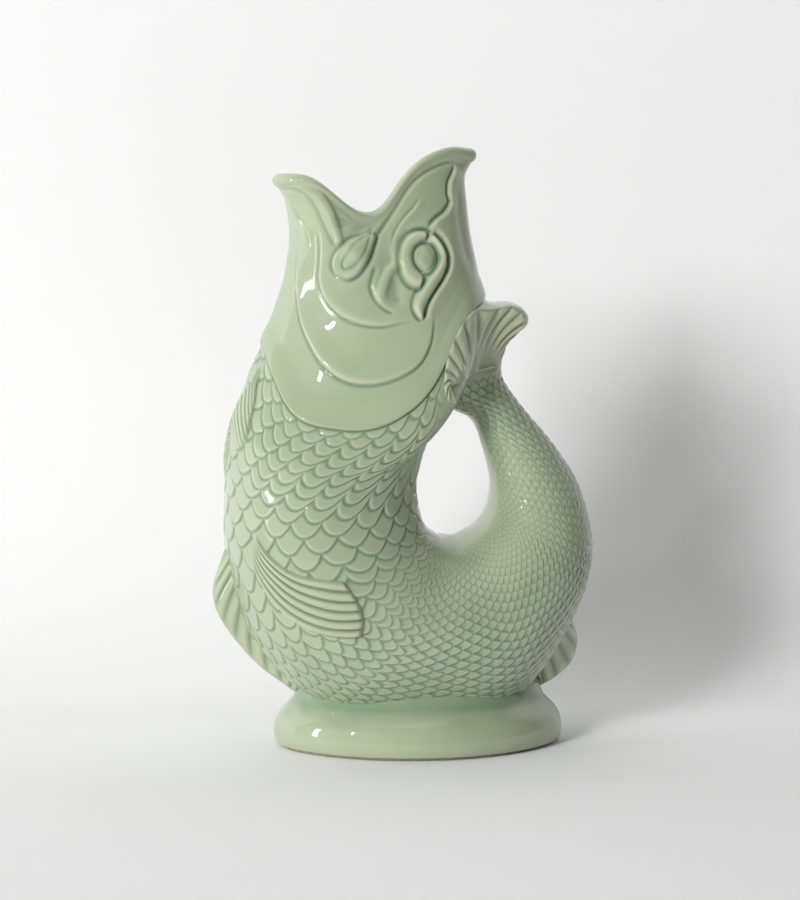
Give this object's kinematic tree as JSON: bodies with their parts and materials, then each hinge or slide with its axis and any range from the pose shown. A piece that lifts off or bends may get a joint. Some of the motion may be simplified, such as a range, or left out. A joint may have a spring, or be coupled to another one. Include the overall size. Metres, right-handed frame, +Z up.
{
  "type": "gurgle jug",
  "caption": "Fish-shaped glazed ceramic jug standing on an oval foot, with the open mouth as its spout and the hollow tail curled up behind the head as its handle.",
  "frame": {"origin": "on the table, under the middle of the fish's length and on its mid-plane", "axes": "+Z up to the mouth, +X from the belly to the tail handle, Y across the two flanks"},
  "size_m": [0.1698, 0.1134, 0.2649],
  "materials": {
    "glaze": "glossy transparent sage-green glaze, pooled darker in the grooves and thin and creamy on the ridges",
    "bare_clay": "bare fired cream earthenware"
  },
  "bodies": {
    "root": {"head": "glaze", "neck": "glaze", "shoulder": "glaze", "breast": "glaze", "belly": "glaze", "loin": "glaze", "rump": "glaze", "tail": "glaze", "tail_fin": "glaze", "foot": "glaze", "foot_ring": "bare_clay", "pectoral_fin_left": "glaze", "pectoral_fin_right": "glaze", "pelvic_fin_left": "glaze", "pelvic_fin_right": "glaze", "belly_fin": "glaze", "rear_fin": "glaze", "eye_left": "glaze", "eye_right": "glaze", "eyelid_left": "glaze", "eyelid_right": "glaze"}
  },
  "joints": []
}
